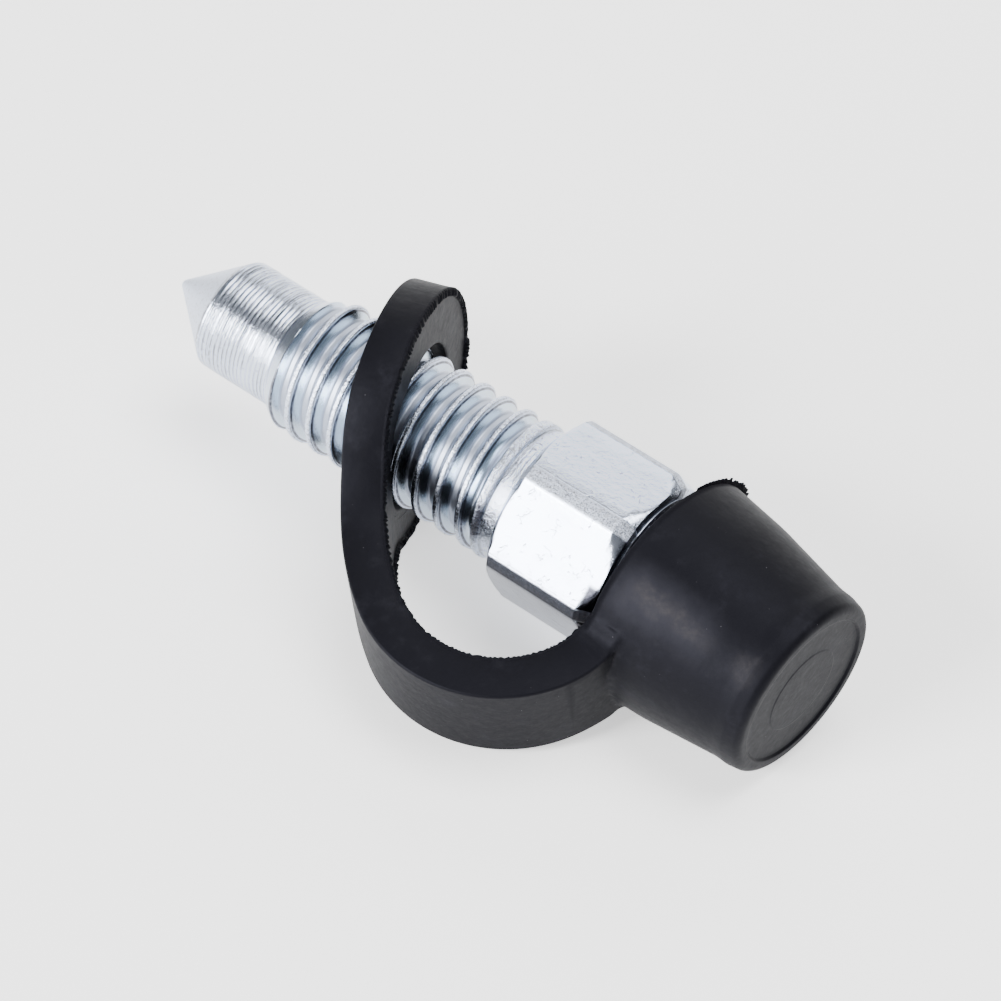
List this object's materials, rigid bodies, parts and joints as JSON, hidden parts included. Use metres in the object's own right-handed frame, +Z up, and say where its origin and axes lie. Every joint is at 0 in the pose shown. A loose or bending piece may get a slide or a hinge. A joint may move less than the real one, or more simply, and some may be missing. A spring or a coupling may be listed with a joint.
{
  "type": "bleeder screw",
  "caption": "Steel brake bleeder screw with cone seat, coarse thread and hexagon, its nipple under a black rubber dust cap held by a strap and ring.",
  "frame": {"origin": "on the floor under the middle of the pair as it lies", "axes": "X runs with the screw from the seat cone to the cap, Z is up from the floor, the strap lies towards -Y"},
  "size_m": [0.042, 0.0204, 0.0143],
  "materials": {
    "zinc_steel": "bright clear zinc plating on turned and rolled steel, small dents and scratches",
    "black_rubber": "satin moulded rubber with thin flash at its edges"
  },
  "bodies": {
    "dust_cap": {"dust_cap": "black_rubber"},
    "bleeder_screw": {"bleeder_screw": "zinc_steel"}
  },
  "joints": [
    {"name": "screw_turn", "type": "hinge", "parent": "dust_cap", "child": "bleeder_screw", "pos_m": [0.00292, 0.00285, 0.00667], "axis": [0.9989, 0, -0.0471], "continuous": true}
  ]
}
